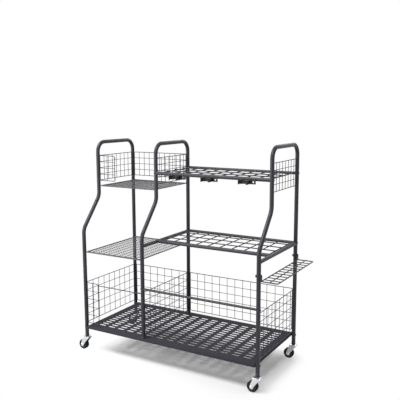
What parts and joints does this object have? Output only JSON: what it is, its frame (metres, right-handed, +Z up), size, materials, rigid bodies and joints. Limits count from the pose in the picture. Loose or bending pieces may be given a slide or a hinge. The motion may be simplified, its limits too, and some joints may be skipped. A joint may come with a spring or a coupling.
{
  "type": "garden tool rack",
  "caption": "Rolling steel rack for long garden tools: bent tube frames, two open tool grids, slotted tray, mesh bin, hose shelf, top shelf, side rack and handle clips on swivel casters.",
  "frame": {"origin": "on the floor under the middle of the rack's outline", "axes": "+Z up, +X to the right along the rack's length, -Y towards the front"},
  "size_m": [1.0879, 0.4526, 1.0552],
  "materials": {
    "powder_coat": "satin charcoal powder coat",
    "black_plastic": "moulded black nylon",
    "zinc_plate": "bright zinc plate",
    "wheel_rubber": "satin black rubber"
  },
  "bodies": {
    "rack": {"left_frame": "powder_coat", "middle_frame": "powder_coat", "right_frame": "powder_coat", "top_grid_front_rail": "powder_coat", "top_grid_rear_rail": "powder_coat", "mid_grid_front_rail": "powder_coat", "mid_grid_rear_rail": "powder_coat", "low_front_rail": "powder_coat", "top_grid_cross_wire_1": "powder_coat", "top_grid_cross_wire_2": "powder_coat", "top_grid_cross_wire_3": "powder_coat", "top_grid_cross_wire_4": "powder_coat", "top_grid_cross_wire_5": "powder_coat", "top_grid_cross_wire_6": "powder_coat", "top_grid_cross_wire_7": "powder_coat", "top_grid_cross_wire_8": "powder_coat", "top_grid_cross_wire_9": "powder_coat", "top_grid_cross_wire_10": "powder_coat", "top_grid_long_wire_1": "powder_coat", "top_grid_long_wire_2": "powder_coat", "top_grid_long_wire_3": "powder_coat", "mid_grid_cross_wire_1": "powder_coat", "mid_grid_cross_wire_2": "powder_coat", "mid_grid_cross_wire_3": "powder_coat", "mid_grid_cross_wire_4": "powder_coat", "mid_grid_cross_wire_5": "powder_coat", "mid_grid_cross_wire_6": "powder_coat", "mid_grid_cross_wire_7": "powder_coat", "mid_grid_cross_wire_8": "powder_coat", "mid_grid_cross_wire_9": "powder_coat", "mid_grid_cross_wire_10": "powder_coat", "mid_grid_long_wire_1": "powder_coat", "mid_grid_long_wire_2": "powder_coat", "mid_grid_long_wire_3": "powder_coat", "lower_left_mesh": "powder_coat", "lower_divider_mesh": "powder_coat", "lower_right_mesh": "powder_coat", "upper_left_mesh": "powder_coat", "upper_divider_mesh": "powder_coat", "upper_right_mesh": "powder_coat", "back_left_mesh": "powder_coat", "back_right_mesh": "powder_coat", "upper_back_mesh": "powder_coat", "lower_front_return": "powder_coat", "upper_front_return": "powder_coat", "hose_shelf": "powder_coat", "top_shelf": "powder_coat", "side_rack": "powder_coat", "slotted_tray": "powder_coat", "handle_clip_1": "black_plastic", "handle_clip_2": "black_plastic", "handle_clip_3": "black_plastic"},
    "front_left_fork": {"front_left_caster_fork": "zinc_plate"},
    "front_left_wheel": {"front_left_caster_wheel": "wheel_rubber"},
    "rear_left_fork": {"rear_left_caster_fork": "zinc_plate"},
    "rear_left_wheel": {"rear_left_caster_wheel": "wheel_rubber"},
    "front_right_fork": {"front_right_caster_fork": "zinc_plate"},
    "front_right_wheel": {"front_right_caster_wheel": "wheel_rubber"},
    "rear_right_fork": {"rear_right_caster_fork": "zinc_plate"},
    "rear_right_wheel": {"rear_right_caster_wheel": "wheel_rubber"}
  },
  "joints": [
    {"name": "front_left_swivel", "type": "hinge", "parent": "rack", "child": "front_left_fork", "pos_m": [-0.4966, -0.2073, 0.066], "axis": [0, 0, 1], "continuous": true},
    {"name": "front_left_roll", "type": "hinge", "parent": "front_left_fork", "child": "front_left_wheel", "pos_m": [-0.5191, -0.2073, 0.02469], "axis": [0, 1, 0], "continuous": true},
    {"name": "rear_left_swivel", "type": "hinge", "parent": "rack", "child": "rear_left_fork", "pos_m": [-0.4966, 0.2073, 0.066], "axis": [0, 0, 1], "continuous": true},
    {"name": "rear_left_roll", "type": "hinge", "parent": "rear_left_fork", "child": "rear_left_wheel", "pos_m": [-0.5191, 0.2073, 0.02469], "axis": [0, 1, 0], "continuous": true},
    {"name": "front_right_swivel", "type": "hinge", "parent": "rack", "child": "front_right_fork", "pos_m": [0.4534, -0.2073, 0.066], "axis": [0, 0, 1], "continuous": true},
    {"name": "front_right_roll", "type": "hinge", "parent": "front_right_fork", "child": "front_right_wheel", "pos_m": [0.4309, -0.2073, 0.02469], "axis": [0, 1, 0], "continuous": true},
    {"name": "rear_right_swivel", "type": "hinge", "parent": "rack", "child": "rear_right_fork", "pos_m": [0.4534, 0.2073, 0.066], "axis": [0, 0, 1], "continuous": true},
    {"name": "rear_right_roll", "type": "hinge", "parent": "rear_right_fork", "child": "rear_right_wheel", "pos_m": [0.4309, 0.2073, 0.02469], "axis": [0, 1, 0], "continuous": true}
  ]
}
